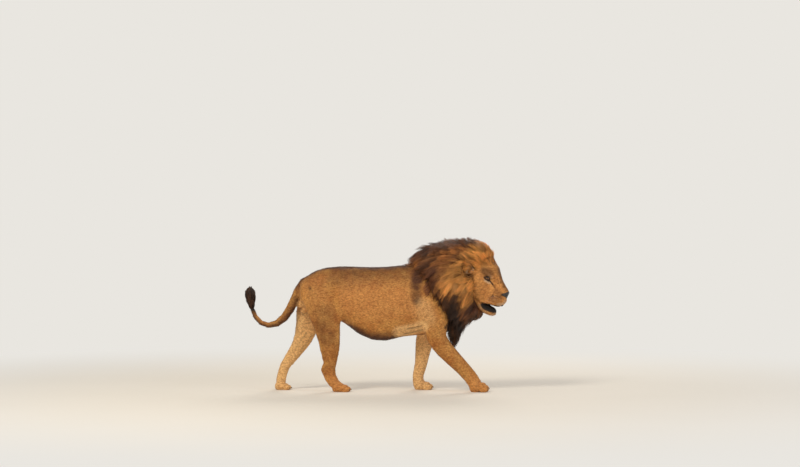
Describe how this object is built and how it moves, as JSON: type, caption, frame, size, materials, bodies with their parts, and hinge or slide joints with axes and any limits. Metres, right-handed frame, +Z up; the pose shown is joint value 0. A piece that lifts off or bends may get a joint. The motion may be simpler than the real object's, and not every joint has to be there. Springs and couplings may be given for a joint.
{
  "type": "lion",
  "caption": "Male lion in mid stride with its head turned a little aside: long body, four paws on the floor, thick mane, beard and chest mane, and a tail curved up to a dark tuft.",
  "frame": {"origin": "on the floor, under the middle of the animal's bounding box", "axes": "+X the way the lion walks, +Y its left side, +Z up; it is stored standing on Z = 0"},
  "size_m": [2.2875, 0.5612, 1.3103],
  "materials": {
    "coat": "short tawny fur that lies flat",
    "pale_coat": "short pale golden fur of the paws",
    "mane": "long coarse hair, golden brown to dark brown",
    "dark_mane": "long blackish brown hair",
    "tuft": "near black tail tuft",
    "nose": "black grained nose leather",
    "eye": "wet amber brown eye",
    "claw": "dark horn"
  },
  "bodies": {
    "root": {"head": "coat", "nose": "nose", "eye_left": "eye", "eye_right": "eye", "ear_left": "coat", "ear_right": "coat", "trunk": "coat", "tail": "coat", "tail_tuft": "tuft", "mane": "mane", "chest_mane": "dark_mane", "fore_right_upper": "coat", "fore_right_lower": "coat", "fore_right_paw": "pale_coat", "fore_right_claw_1": "claw", "fore_right_claw_2": "claw", "fore_right_claw_3": "claw", "fore_right_claw_4": "claw", "fore_left_upper": "coat", "fore_left_lower": "coat", "fore_left_paw": "pale_coat", "fore_left_claw_1": "claw", "fore_left_claw_2": "claw", "fore_left_claw_3": "claw", "fore_left_claw_4": "claw", "hind_right_upper": "coat", "hind_right_lower": "coat", "hind_right_paw": "pale_coat", "hind_right_claw_1": "claw", "hind_right_claw_2": "claw", "hind_right_claw_3": "claw", "hind_right_claw_4": "claw", "hind_left_upper": "coat", "hind_left_lower": "coat", "hind_left_paw": "pale_coat", "hind_left_claw_1": "claw", "hind_left_claw_2": "claw", "hind_left_claw_3": "claw", "hind_left_claw_4": "claw"}
  },
  "joints": []
}
